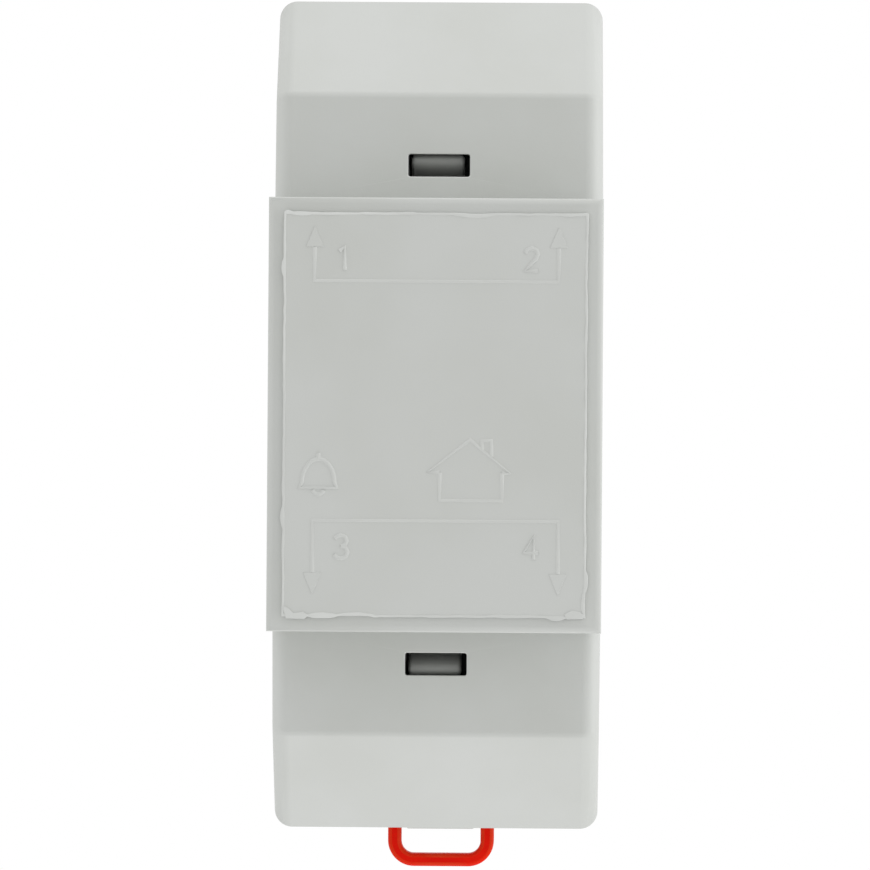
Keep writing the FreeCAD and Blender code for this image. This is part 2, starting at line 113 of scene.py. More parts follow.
def spread(tree, value, low, high, fromLow=0.35, fromHigh=0.65):
    limits = {"From Min": fromLow, "From Max": fromHigh, "To Min": low, "To Max": high}
    node = addNode(tree, "MapRange", limits)
    tree.links.new(value, node.inputs["Value"])
    return node.outputs["Result"]


def blendColour(tree, share, first, second):
    node = addNode(tree, "Mix", data_type="RGBA")
    tree.links.new(share, node.inputs[0])
    for socket, colour in ((node.inputs[6], first), (node.inputs[7], second)):  # its two colour sockets
        if isinstance(colour, tuple):
            socket.default_value = colour
        else:
            tree.links.new(colour, socket)
    return node.outputs[2]


def combine(tree, operation, first, second):
    node = addNode(tree, "Math", operation=operation)
    tree.links.new(first, node.inputs[0])
    tree.links.new(second, node.inputs[1])
    return node.outputs[0]


surfaceDetail = {
    "driftDetail": 3, "grainDetail": 2,
    "grainTint": 0.15,  # share of the drift colour in the grain
    "wearAndSheenShare": (0.2, 0.9),  # least and most of the paler edge tone that shows, partly wear and partly painted highlight
    "gapShare": 0.35,  # part of each band that is its gap
    "waverSize": 2.0, "ior": 1.45, "specular": 0.5,
}


def addBump(tree, height, depth):
    bump = addNode(tree, "Bump", {"Strength": 1.0, "Distance": depth * mm})
    tree.links.new(height, bump.inputs["Height"])
    return bump


def addBands(tree, place, bands):
    # one band of a Wave Texture is pi / 10 wide at a scale of 1
    sockets = {
        "Scale": math.pi / (10 * bands["pitch"] * mm),
        "Distortion": bands["waver"],
        "Detail Scale": surfaceDetail["waverSize"],
    }
    wave = addNode(tree, "TexWave", sockets, bands_direction=bands["along"])
    tree.links.new(place, wave.inputs["Vector"])
    return wave.outputs["Fac"]


def addSurface(name, look):
    material = bpy.data.materials.new(name)
    material.use_nodes = True
    tree = material.node_tree
    shader = tree.nodes["Principled BSDF"]
    coords = addNode(tree, "TexCoord")
    mapping = addNode(tree, "Mapping", {"Scale": look.get("stretch", (1, 1, 1))})
    tree.links.new(coords.outputs["Object"], mapping.inputs["Vector"])
    place = mapping.outputs["Vector"]

    drift = addNoise(tree, place, look["driftSize"], surfaceDetail["driftDetail"])
    grain = addNoise(tree, place, look["grainSize"], surfaceDetail["grainDetail"])
    colour = blendColour(tree, spread(tree, drift, 0, 1), look["colour"], look["drift"])
    colour = blendColour(tree, spread(tree, grain, 0, surfaceDetail["grainTint"]), colour, look["drift"])

    if "wearAndSheen" in look:  # broken edges, flash and marks get a paler tone in patches: partly wear, partly painted highlight
        wearSheenMark = addNode(tree, "Attribute", attribute_name="edgeWearAndSheen")
        patches = spread(tree, drift, *surfaceDetail["wearAndSheenShare"])
        share = combine(tree, "MULTIPLY", wearSheenMark.outputs["Fac"], patches)
        colour = blendColour(tree, share, colour, look["wearAndSheen"])

    bump = addBump(tree, grain, look["grainDepth"])
    if "bands" in look:  # sheets or turns of wire
        wave = addBands(tree, coords.outputs["Object"], look["bands"])
        gap = spread(tree, wave, 1, 0, 0, surfaceDetail["gapShare"])
        colour = blendColour(tree, gap, colour, look["bands"]["gap"])
        ridge = addBump(tree, wave, look["bands"]["depth"])
        tree.links.new(ridge.outputs["Normal"], bump.inputs["Normal"])

    tree.links.new(colour, shader.inputs["Base Color"])
    tree.links.new(spread(tree, grain, *look["rough"]), shader.inputs["Roughness"])
    tree.links.new(bump.outputs["Normal"], shader.inputs["Normal"])
    shader.inputs["Metallic"].default_value = look.get("metal", 0)
    shader.inputs["IOR"].default_value = surfaceDetail["ior"]
    shader.inputs["Specular IOR Level"].default_value = look.get("specular", surfaceDetail["specular"])
    return material


looks = {  # sizes and depths in mm, rough as least and most
    "case_plastic": {
        "colour": linear(196, 198, 195), "drift": linear(192, 194, 190), "wearAndSheen": linear(207, 209, 206),
        "driftSize": 14, "grainSize": 0.16, "grainDepth": 0.006, "rough": (0.42, 0.52),
    },
    # the clip's paler edge tone is a painted highlight on its rounded edges
    "clip_plastic": {
        "colour": linear(226, 22, 2), "drift": linear(216, 16, 1), "wearAndSheen": linear(214, 60, 26),
        "driftSize": 4, "grainSize": 0.2, "grainDepth": 0.006, "rough": (0.34, 0.46), "specular": 0.08,
    },
    # the block's dark grey is painted shade: the grey plastic darkened to how it looks in the shade inside
    # the covers
    "block_plastic": {
        "colour": linear(94, 98, 95), "drift": linear(82, 86, 83), "wearAndSheen": linear(120, 122, 122),
        "driftSize": 6, "grainSize": 0.18, "grainDepth": 0.008, "rough": (0.45, 0.6),
    },
    "former_plastic": {
        "colour": linear(226, 222, 206), "drift": linear(214, 209, 190), "wearAndSheen": linear(236, 233, 222),
        "driftSize": 5, "grainSize": 0.2, "grainDepth": 0.006, "rough": (0.38, 0.5),
    },
    "lamination_steel": {
        "colour": linear(96, 98, 104), "drift": linear(74, 74, 78), "driftSize": 3, "grainSize": 0.12,
        "grainDepth": 0.006, "rough": (0.35, 0.6), "metal": 1,
        "bands": {"along": "X", "pitch": 0.5, "depth": 0.08, "waver": 0.0, "gap": linear(30, 26, 24)},
    },
    "winding_copper": {
        "colour": linear(184, 96, 46), "drift": linear(148, 66, 26), "driftSize": 2, "grainSize": 0.1,
        "grainDepth": 0.003, "rough": (0.2, 0.34), "metal": 1,
        "bands": {"along": "Z", "pitch": 0.42, "depth": 0.1, "waver": 0.05, "gap": linear(60, 24, 10)},
    },
    "winding_tape": {
        "colour": linear(232, 196, 60), "drift": linear(214, 172, 38), "driftSize": 4, "grainSize": 0.3,
        "grainDepth": 0.01, "rough": (0.14, 0.26),
        "bands": {"along": "Z", "pitch": 0.42, "depth": 0.02, "waver": 0.1, "gap": linear(206, 160, 40)},
    },
    "fuse_body": {
        "colour": linear(236, 236, 230), "drift": linear(226, 224, 216), "wearAndSheen": linear(240, 240, 236),
        "driftSize": 2, "grainSize": 0.15, "grainDepth": 0.004, "rough": (0.1, 0.22),
    },
    "contact_brass": {
        "colour": linear(214, 178, 104), "drift": linear(190, 150, 80), "wearAndSheen": linear(232, 204, 140),
        "driftSize": 1.6, "grainSize": 0.25, "grainDepth": 0.006, "rough": (0.2, 0.38), "metal": 1,
        "stretch": (1, 1, 0.08),
    },
    "clamp_steel": {
        "colour": linear(196, 199, 202), "drift": linear(170, 174, 182), "wearAndSheen": linear(222, 224, 226),
        "driftSize": 1.2, "grainSize": 0.2, "grainDepth": 0.008, "rough": (0.24, 0.42), "metal": 1,
    },
    "screw_steel": {
        "colour": linear(204, 206, 208), "drift": linear(184, 184, 178), "wearAndSheen": linear(228, 229, 230),
        "driftSize": 1.0, "grainSize": 0.12, "grainDepth": 0.005, "rough": (0.2, 0.36), "metal": 1,
    },
    "spring_steel": {
        "colour": linear(150, 152, 156), "drift": linear(112, 112, 116), "driftSize": 0.8, "grainSize": 0.08,
        "grainDepth": 0.003, "rough": (0.2, 0.34), "metal": 1,
    },
    "lead_sleeve": {
        "colour": linear(232, 230, 222), "drift": linear(214, 211, 200), "driftSize": 0.8, "grainSize": 0.1,
        "grainDepth": 0.01, "rough": (0.5, 0.66),
    },
}
finishes = {name: addSurface(name, look) for name, look in looks.items()}
print("finishes made:", len(finishes))


# shared modelling steps
meshLimits = {
    "merge": 0.002,  # mm between points that become one
    "cut": 0.0001,  # mm from a cutting plane
    "flat": 0.4,  # degrees between faces that become one
}


def at(x, depth, z):
    return Vector((x, -depth, z)) * mm


def depthOf(vert):
    return -vert.co.y / mm


def heightOf(vert):
    return vert.co.z / mm


def allAt(verts, value, level):
    return all(abs(value(vert) - level) < near for vert in verts)


def largest(faces):
    return max(faces, key=lambda face: face.calc_area())


def ofKind(geom, kind):
    return [item for item in geom if isinstance(item, kind)]


def unique(items):
    return list(dict.fromkeys(items))  # in their order, which a set doesn't keep


def cutPlane(work, faces, place, way, clear=False):
    parts = unique(item for face in faces for item in (face, *face.edges, *face.verts))
    made = bmesh.ops.bisect_plane(
        work, geom=parts, dist=meshLimits["cut"] * mm, plane_co=place, plane_no=way, clear_outer=clear,
    )
    return made["geom_cut"]


def cadCopy(node, halvedAt=()):
    work = bmesh.new()
    work.from_mesh(frame["nodes"][node].data)
    bmesh.ops.remove_doubles(work, verts=work.verts[:], dist=meshLimits["merge"] * mm)
    for x in halvedAt:  # a face with a hole in it is halved here, and not where its triangles happen to lie
        for edge in ofKind(cutPlane(work, work.faces, at(x, 0, 0), (1, 0, 0)), bmesh.types.BMEdge):
            edge.seam = True
    bmesh.ops.dissolve_limit(
        work, angle_limit=math.radians(meshLimits["flat"]), verts=work.verts[:], edges=work.edges[:],
        delimit={"SEAM"},
    )
    return work


def raiseFrom(work, faces):
    return ofKind(bmesh.ops.extrude_face_region(work, geom=faces)["geom"], bmesh.types.BMVert)


def sweepFace(work, corners, way):
    face = work.faces.new([work.verts.new(corner) for corner in corners])
    far = raiseFrom(work, [face])
    bmesh.ops.translate(work, verts=far, vec=way)
    solid = unique([face] + [side for vert in far for side in vert.link_faces])
    bmesh.ops.recalc_face_normals(work, faces=solid)
    return solid


def roundEdges(work, edges, radius, steps=2, clamp=False):
    made = bmesh.ops.bevel(
        work, geom=list(edges), offset=radius * mm, offset_type="OFFSET", affect="EDGES", segments=steps,
        profile=0.5, material=-1, clamp_overlap=clamp,
    )
    return made["faces"]


def roundCorners(work, verts, radius, steps):
    bmesh.ops.bevel(
        work, geom=list(verts), offset=radius * mm, offset_type="OFFSET", affect="VERTICES", segments=steps,
        profile=0.5, material=-1,
    )


def sharpEdges(work, least=40, shortest=0.0):
    return [
        edge for edge in work.edges
        if edge.is_manifold and edge.is_convex
        and edge.calc_face_angle() > math.radians(least) and edge.calc_length() > shortest * mm
    ]


def wearAndSheenLayer(work):
    layers = work.faces.layers.float
    return layers.get("edgeWearAndSheen") or layers.new("edgeWearAndSheen")


def markWearAndSheen(work, faces, share):
    wearSheenMark = wearAndSheenLayer(work)
    for face in faces:
        face[wearSheenMark] = share


# rounds the sharp edges and paints the rounds a paler tone, partly wear and partly painted highlight
def breakEdges(work, radius, shortest=0.0, steps=2, least=40):
    wearAndSheenLayer(work)  # a new layer drops the faces that are held, so it comes first
    markWearAndSheen(work, roundEdges(work, sharpEdges(work, least, shortest), radius, steps), 1)


def addBlock(work, low, high, radius):
    verts = bmesh.ops.create_cube(work, size=1)["verts"]
    bmesh.ops.scale(work, verts=verts, vec=high - low)
    bmesh.ops.translate(work, verts=verts, vec=(high + low) / 2)
    roundEdges(work, unique(edge for vert in verts for edge in vert.link_edges), radius)


def addPiece(work, name, body, slot, standsFor=(), crease=50):
    mesh = bpy.data.meshes.new(name)
    work.to_mesh(mesh)
    work.free()
    mesh.shade_smooth()
    mesh.set_sharp_from_angle(angle=math.radians(crease))
    mesh.materials.append(finishes[slot])
    piece = bpy.data.objects.new(name, mesh)
    bpy.context.scene.collection.objects.link(piece)
    piece.modifiers.new("evenShade", "WEIGHTED_NORMAL").keep_sharp = True
    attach(piece, body)
    if standsFor:
        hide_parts(*standsFor)
    return piece


# terminal covers: a bent shell with a release window and two wire notches
coverShape = {
    "halfWidth": 17.495, "taper": 0.15, "seam": 24.0, "front": 43.0, "noseEdge": 22.8,
    "bend": 34.1, "slopeEnd": 35.0, "end": 44.35, "wall": 1.6,
    "sideRadius": 1.9, "sideSteps": 8, "bendRadius": 1.1, "endRadius": 1.5, "bendSteps": 4,
    "rimBreak": 0.12, "rimAngle": 60,
    "windowWidth": 6.57, "windowHeight": 2.41, "windowZ": 26.56, "windowRadius": 0.25, "windowSteps": 5,
    "notchAt": 8.5, "notchWidth": 7.0, "notchHeight": 7.0, "notchSteps": 9,
    "notchRound": 0.98,  # share of half the width
    "mitreNear": 0.004,
    "tongueIn": 14.6, "tongueOut": 16.0, "tongueTip": 22.4, "tongueRoot": 27.0, "tongueStep": 24.1,
    "tongueFrom": 24.7, "tongueTo": 34.1, "tongueClear": 15.6, "tongueEdge": 0.15,
}


def sweepCover(shape):
    work = bmesh.new()
    outline = (
        (shape["seam"], shape["noseEdge"]),
        (shape["front"], shape["noseEdge"]),
        (shape["front"], shape["bend"]),
        (shape["slopeEnd"], shape["end"]),
        (shape["seam"], shape["end"]),
    )
    corners = [at(-shape["halfWidth"], depth, z) for depth, z in outline]
    sweepFace(work, corners, (2 * shape["halfWidth"] * mm, 0, 0))
    length = shape["end"] - shape["noseEdge"]
    for vert in work.verts:  # a little narrower towards the end
        along = (heightOf(vert) - shape["noseEdge"]) / length
        vert.co.x *= 1 - shape["taper"] * along / shape["halfWidth"]
    return work


def cutWindow(work, shape):
    front = largest(face for face in work.faces if allAt(face.verts, depthOf, shape["front"]))
    rim = list(front.edges)
    bmesh.ops.delete(work, geom=[front], context="FACES_ONLY")
    wide, high = shape["windowWidth"] / 2, shape["windowHeight"] / 2
    corners = ((-wide, -high), (wide, -high), (wide, high), (-wide, high))
    verts = [work.verts.new(at(x, shape["front"], shape["windowZ"] + z)) for x, z in corners]
    work.faces.new(verts)
    roundCorners(work, verts, shape["windowRadius"], shape["windowSteps"])
    hole = largest(face for face in work.faces if allAt(face.verts, depthOf, shape["front"]))
    window = list(hole.edges)
    bmesh.ops.delete(work, geom=[hole], context="FACES_ONLY")
    bmesh.ops.triangle_fill(work, use_beauty=True, use_dissolve=False, edges=rim + window)


def endFaces(work, shape):
    return [face for face in work.faces if allAt(face.verts, heightOf, shape["end"])]


def cutNotches(work, shape):
    top = shape["seam"] + shape["notchHeight"]
    half = shape["notchWidth"] / 2
    walls = [side * shape["notchAt"] + way * half for side in (-1, 1) for way in (-1, 1)]
    cuts = [(at(x, 0, 0), (1, 0, 0)) for x in walls]
    cuts.append((at(0, top, 0), (0, 1, 0)))
    faces = [largest(endFaces(work, shape))]
    for place, way in cuts:
        cutPlane(work, faces, place, way)
        faces = endFaces(work, shape)

    openings = []
    for face in faces:
        centre = face.calc_center_median() / mm
        if abs(abs(centre.x) - shape["notchAt"]) < half and -centre.y < top:
            openings.append(face)
    bmesh.ops.delete(work, geom=openings, context="FACES")

    faces = set(endFaces(work, shape))
    inner = [edge for edge in work.edges if len(edge.link_faces) == 2 and faces.issuperset(edge.link_faces)]
    bmesh.ops.dissolve_edges(work, edges=inner, use_verts=False)
    straight = [vert for vert in work.verts if len(vert.link_edges) == 2 and vert.calc_edge_angle(1) < near]
    bmesh.ops.dissolve_verts(work, verts=straight)
    corners = [
        vert for vert in work.verts
        if allAt([vert], heightOf, shape["end"]) and allAt([vert], depthOf, top)
        and min(abs(vert.co.x / mm - wall) for wall in walls) < near
    ]
    roundCorners(work, corners, half * shape["notchRound"], shape["notchSteps"])


def onMitre(vert, spot, way, shape):
    across = Vector((0, spot[0] - depthOf(vert), heightOf(vert) - spot[1]))
    return abs(across.dot(way)) < shape["mitreNear"]


def roundBends(work, outer, shape):
    # the two bends are rounded after the wall has its thickness, so that its inside stays sharp
    along = Vector((0, 0, 1))
    slope = Vector((0, shape["front"] - shape["slopeEnd"], shape["end"] - shape["bend"])).normalized()
    back = Vector((0, 1, 0))
    bends = (
        ((shape["front"], shape["bend"]), along, slope, shape["bendRadius"]),
        ((shape["slopeEnd"], shape["end"]), slope, back, shape["endRadius"]),
    )
    for spot, before, after, radius in bends:
        way = (before + after).normalized()
        edges = [
            edge for edge in work.edges
            if len(edge.link_faces) == 2 and outer.issuperset(edge.link_faces)
            and all(onMitre(vert, spot, way, shape) for vert in edge.verts)
        ]
        offset = radius * math.tan(before.angle(after) / 2)
        outer |= set(roundEdges(work, edges, offset, shape["bendSteps"]))


def addTongue(work, side, shape):
    # a stepped snap arm on the inside of each wall
    outline = (
        (shape["tongueIn"], shape["tongueRoot"]),
        (shape["tongueOut"], shape["tongueRoot"]),
        (shape["tongueOut"], shape["tongueStep"]),
        (shape["tongueClear"], shape["tongueStep"]),
        (shape["tongueClear"], shape["tongueTip"]),
        (shape["tongueIn"], shape["tongueTip"]),
    )
    corners = [at(side * x, depth, shape["tongueFrom"]) for x, depth in outline]
    arm = sweepFace(work, corners, (0, 0, (shape["tongueTo"] - shape["tongueFrom"]) * mm))
    edges = unique(edge for face in arm for edge in face.edges if edge.is_convex)
    roundEdges(work, edges, shape["tongueEdge"])


def makeCover(shape):
    def onOpenSide(verts):
        return allAt(verts, depthOf, shape["seam"]) or allAt(verts, heightOf, shape["noseEdge"])

    work = sweepCover(shape)
    chain = [
        edge for edge in work.edges
        if edge.verts[0].co.x * edge.verts[1].co.x > 0 and not onOpenSide(edge.verts)
    ]
    roundEdges(work, chain, shape["sideRadius"], shape["sideSteps"])
    openSides = [face for face in work.faces if onOpenSide(face.verts)]
    bmesh.ops.delete(work, geom=openSides, context="FACES")
    cutWindow(work, shape)
    cutNotches(work, shape)
    bmesh.ops.recalc_face_normals(work, faces=work.faces[:])
    shell = work.faces[:]
    bmesh.ops.solidify(work, geom=shell, thickness=shape["wall"] * mm)
    roundBends(work, {face for face in shell if face.is_valid}, shape)
    breakEdges(work, shape["rimBreak"], least=shape["rimAngle"])
    for side in (-1, 1):
        addTongue(work, side, shape)
    return work


for end in ends:
    work = makeCover(coverShape)
    if end == "bottom":
        bmesh.ops.scale(work, verts=work.verts[:], vec=(1, 1, -1))
        bmesh.ops.reverse_faces(work, faces=work.faces[:])
    addPiece(work, end + "_cover_shell", end + "_cover", "case_plastic", [end + "_terminal_cover"], crease=45)
print("covers made")


# front hood: the panel, the nose and the cover catches are fitted to the photograph by a tenth or two
panelShape = {
    "face": 60.68, "setBack": 0.12, "foot": 59.95, "half": 16.3, "high": 21.5,
    "narrower": 0.12, "lower": 0.17, "noseFrom": 44.0, "noseDrop": 0.085,
    "edge": 0.2, "steps": 3, "shortest": 1.0,
}
catchShape = {
    "half": 3.2, "from": 36.0, "to": 41.0, "inner": 22.0, "outer": 29.0,  # where its vertices lie
    "rows": (25.2, 25.7, 26.2), "crest": 27.2, "end": 27.85,
    "crown": 40.3, "curve": 0.85, "back": 37.6, "backNear": 0.1, "thick": 0.7,
    "wider": 0.05, "toLeft": 0.15, "edge": 0.42, "steps": 4,
}


def fitPanel(vert, shape):
    across, up, depth = vert.co.x / mm, heightOf(vert), depthOf(vert)
    if depth > shape["foot"] and abs(across) < shape["half"] and abs(up) < shape["high"]:
        vert.co.x -= math.copysign(shape["narrower"], across) * mm
        vert.co.z -= (shape["lower"] if up > 0 else 0) * mm
        vert.co.y += (shape["setBack"] if depth > shape["face"] else 0) * mm
    elif depth > shape["noseFrom"]:
        vert.co.z -= shape["noseDrop"] * mm


def inCatch(vert, shape):
    across, up, depth = abs(vert.co.x) / mm, abs(heightOf(vert)), depthOf(vert)
    inDepth = shape["from"] < depth < shape["to"]
    return across < shape["half"] and inDepth and shape["inner"] < up < shape["outer"]


def curveCatch(work, side, shape):
    # the arm's face swells from its foot to a crest and falls away behind it
    for row in shape["rows"]:
        faces = [face for face in work.faces if all(inCatch(vert, shape) for vert in face.verts)]
        cutPlane(work, faces, at(0, 0, side * row), (0, 0, 1))
    foot = shape["rows"][0]
    for vert in [vert for vert in work.verts if inCatch(vert, shape) and side * vert.co.z > 0]:
        up = min(abs(heightOf(vert)), shape["end"])
        face = shape["crown"] - shape["curve"] * (max(up, foot) - shape["crest"]) ** 2
        onBack = depthOf(vert) < shape["back"] + shape["backNear"]
        depth = min(shape["back"], face - shape["thick"]) if onBack else face
        across = vert.co.x / mm + math.copysign(shape["wider"], vert.co.x) - shape["toLeft"]
        vert.co = at(across, depth, side * up)


def makeHood(panel, catch):
    work = cadCopy("front_hood")
    for vert in work.verts:
        fitPanel(vert, panel)
    for side in (-1, 1):
        curveCatch(work, side, catch)
    work.normal_update()
    foot = catch["rows"][0] - near
    arms = [
        edge for edge in sharpEdges(work)
        if all(inCatch(vert, catch) and abs(heightOf(vert)) > foot for vert in edge.verts)
    ]
    roundEdges(work, arms, catch["edge"], catch["steps"])
    breakEdges(work, panel["edge"], panel["shortest"], panel["steps"])
    return work


addPiece(makeHood(panelShape, catchShape), "front_hood_moulding", "case", "case_plastic", ["front_hood"])
print("hood made")


# flash: the thin torn seam that the mould insert leaves round the panel
flashShape = {
    "halfWidth": 15.78, "halfHeight": 21.015, "centre": -0.085, "inside": 0.16, "outside": 0.09,
    "back": 60.2, "crest": 60.75, "flapCrest": 60.795, "edge": 0.05, "sharp": 50, "paintedSheen": 1.4,
    "cuts": 130, "longest": 5.0,  # longer edges are cut up
    "waver": 0.06, "waverSizes": (3.0, 0.9), "waverFrom": 4.0, "innerApart": 7.0,
    "level": 0.96, "uneven": 0.1,  # shares of the crest's height
    "unevenSize": 1.3,
    "swell": 0.6,  # lower is blunter
    "tears": (  # side, from, to, outer edge moved outwards, inner edge moved inwards
        ("top", -16.0, -15.0, 0.2, 0.0),
        ("top", -15.1, -13.0, 0.06, 0.12),
        ("top", 1.8, 5.9, -0.06, 0.24),
        ("top", 11.6, 16.0, 0.02, 0.1),
        ("left", 14.4, 16.2, 0.2, 0.0),
        ("left", -11.9, -9.7, 0.2, 0.0),
        ("bottom", -13.0, -10.2, 0.15, 0.2),
        ("bottom", -10.2, -6.2, -0.15, 0.22),
        ("bottom", 5.4, 11.9, 0.0, 0.07),
        ("bottom", 11.9, 13.6, 0.25, 0.0),
        ("right", -18.3, -16.2, 0.22, 0.0),
        ("right", -20.9, -18.2, -0.08, 0.26),
    ),
    "flaps": (  # folded scraps at the two lower corners, as outlines across the panel
        ((-15.75, -20.1), (-15.2, -20.3), (-14.6, -20.85), (-13.6, -20.7), (-13.05, -21.1),
         (-13.5, -21.45), (-15.4, -21.4)),
        ((13.65, -20.75), (14.4, -20.4), (15.2, -20.5), (15.7, -20.85), (15.6, -21.25), (13.9, -21.3)),
    ),
}


def sideOf(x, z, shape):
    if abs(x) / shape["halfWidth"] > abs(z) / shape["halfHeight"]:
        return ("right", z, Vector((1, 0, 0))) if x > 0 else ("left", z, Vector((-1, 0, 0)))
    return ("top", x, Vector((0, 0, 1))) if z > 0 else ("bottom", x, Vector((0, 0, -1)))


def shiftSeam(vert, shape):
    x, z = vert.co.x / mm, heightOf(vert)
    name, along, outwards = sideOf(x, z, shape)
    innerWide = shape["halfWidth"] - shape["inside"] + near
    innerHigh = shape["halfHeight"] - shape["inside"] + near
    inner = abs(x) < innerWide and abs(z) < innerHigh
    slow, quick = shape["waverSizes"]
    place = Vector((x, z, shape["waverFrom"]))
    apart = Vector((0, 0, shape["innerApart"] * inner))
    shift = shape["waver"] * (noise.noise(place / slow) + noise.noise(place / quick + apart))
    for side, low, high, out, inwards in shape["tears"]:
        if side == name and low < along < high:
            swell = math.sin(math.pi * (along - low) / (high - low)) ** shape["swell"]
            shift += swell * (-inwards if inner else out)
    vert.co += outwards * shift * mm


def raiseFlash(work, faces, crest, shape):
    for vert in raiseFrom(work, faces):
        level = shape["level"] + shape["uneven"] * noise.noise(vert.co / mm / shape["unevenSize"])
        vert.co.y -= (crest - shape["back"]) * min(level, 1) * mm


def makeFlash(shape):
    work = bmesh.new()
    wide, high = shape["halfWidth"] + shape["outside"], shape["halfHeight"] + shape["outside"]
    corners = ((-wide, -high), (wide, -high), (wide, high), (-wide, high))
    panel = work.faces.new([work.verts.new(at(x, shape["back"], z)) for x, z in corners])
    panel.normal_update()
    width = shape["inside"] + shape["outside"]
    bmesh.ops.inset_region(work, faces=[panel], thickness=width * mm, use_boundary=True, use_even_offset=True)
    bmesh.ops.delete(work, geom=[panel], context="FACES_ONLY")
    longEdges = [edge for edge in work.edges if edge.calc_length() > shape["longest"] * mm]
    bmesh.ops.subdivide_edges(work, edges=longEdges, cuts=shape["cuts"], use_grid_fill=True)
    for vert in work.verts:
        shiftSeam(vert, shape)
    bmesh.ops.translate(work, verts=work.verts[:], vec=(0, 0, shape["centre"] * mm))
    raiseFlash(work, work.faces[:], shape["crest"], shape)
    flaps = [
        work.faces.new([work.verts.new(at(x, shape["back"], z)) for x, z in outline])
        for outline in shape["flaps"]
    ]
    raiseFlash(work, flaps, shape["flapCrest"], shape)
    bmesh.ops.recalc_face_normals(work, faces=work.faces[:])
    raised = [
        edge for edge in sharpEdges(work, shape["sharp"])
        if all(depthOf(vert) > shape["back"] + near for vert in edge.verts)
    ]
    roundEdges(work, raised, shape["edge"], clamp=True)
    # the whole flash is painted paler, a painted highlight on the seam
    markWearAndSheen(work, work.faces, shape["paintedSheen"])
    return work


addPiece(makeFlash(flashShape), "panel_flash", "case", "case_plastic")
print("flash made")


# raised marks on the panel: two brackets with arrows, a bell, a house and plain terminal numbers
markShape = {
    "low": {"radius": 0.42, "sunk": 0.34},  # the lines of brackets and house
    "high": {"radius": 0.3, "sunk": 0.19},  # the lines of bell and numbers
    "lineRounds": 6, "paintedSheen": 0.6,
    "arrowWidth": 1.9, "arrowSunk": 0.1, "arrowRise": 0.06, "arrowEdge": 0.05, "arrowSheen": 0.15,
    "brackets": (  # left, right, bar height, stem end, arrow tip
        (-12.63, 12.84, 13.87, 17.4, 19.6), (-12.7, 12.93, -11.13, -16.6, -18.9),
    ),
    "bell": {
        "at": -12.12, "base": -7.75, "half": 1.95, "shoulder": -7.2, "domeWide": 1.7, "domeHigh": 2.45,
        "knob": -4.1, "clapperWide": 0.62, "clapper": -8.45,
        "domeTurn": (0, 180, 12), "clapperTurn": (20, 160, 20),  # degrees from, to and a step
    },
    "house": {
        "roof": ((-0.67, -6.02), (3.7, -2.65), (7.9, -6.13)),
        "leftWall": 0.54, "rightWall": 7.06, "eaves": -6.1, "floor": -8.99,
        "chimney": ((4.95, -3.68), (4.95, -2.72), (5.92, -2.72), (5.92, -4.4)),
    },
    "numbers": ((1, -9.6, 16.2), (2, 10.0, 16.2), (3, -9.7, -13.9), (4, 10.1, -13.9)),
    "strokes": {  # each number as one line or two
        1: (((-0.45, 0.75), (0.1, 1.2), (0.1, -1.2)),),
        2: (((-0.65, 0.65), (-0.5, 1.0), (0.0, 1.2), (0.5, 1.0), (0.65, 0.55), (0.45, 0.05),
             (-0.7, -1.2), (0.7, -1.2)),),
        3: (((-0.65, 0.85), (-0.4, 1.12), (0.0, 1.2), (0.45, 1.05), (0.6, 0.65), (0.45, 0.25), (0.0, 0.08)),
            ((0.0, 0.08), (0.5, -0.1), (0.7, -0.55), (0.5, -1.03), (0.0, -1.2), (-0.45, -1.1), (-0.7, -0.8))),
        4: (((0.3, -1.2), (0.3, 1.2), (-0.75, -0.5), (0.8, -0.5)),),
    },
}


def arc(x, z, wide, high, fromDegrees, toDegrees, step):
    turns = [math.radians(degrees) for degrees in range(fromDegrees, toDegrees + 1, step)]
    return [(x + wide * math.cos(turn), z + high * math.sin(turn)) for turn in turns]


def bellLines(bell):
    x = bell["at"]
    dome = arc(x, bell["shoulder"], bell["domeWide"], bell["domeHigh"], *bell["domeTurn"])
    outline = [(x + bell["half"], bell["base"])] + dome + [(x - bell["half"], bell["base"])]
    drop = bell["clapper"] - bell["base"]
    clapper = arc(x, bell["base"], bell["clapperWide"], drop, *bell["clapperTurn"])
    knob = [(x, bell["shoulder"] + bell["domeHigh"]), (x, bell["knob"])]
    return [(outline, True), (clapper, False), (knob, False)]


def houseLines(house):
    walls = [
        (house["leftWall"], house["eaves"]), (house["leftWall"], house["floor"]),
        (house["rightWall"], house["floor"]), (house["rightWall"], house["eaves"]),
    ]
    roof = [walls[0], *house["roof"], walls[-1]]
    return [(walls, False), (roof, False), (house["chimney"], False)]


def meshFrom(curve):
    holder = bpy.data.objects.new("drawing", curve)
    bpy.context.scene.collection.objects.link(holder)
    mesh = bpy.data.meshes.new_from_object(holder.evaluated_get(bpy.context.evaluated_depsgraph_get()))
    bpy.data.objects.remove(holder)
    return mesh


def drawLines(lines, relief, rounds):
    curve = bpy.data.curves.new("lines", "CURVE")
    curve.dimensions = "3D"
    curve.bevel_depth = relief["radius"] * mm
    curve.bevel_resolution = rounds
    curve.use_fill_caps = True
    for points, closed in lines:
        line = curve.splines.new("POLY")
        line.points.add(len(points) - 1)
        for point, (x, z) in zip(line.points, points):
            point.co = (*at(x, panelShape["face"] - relief["sunk"], z), 1)
        line.use_cyclic_u = closed
    return meshFrom(curve)


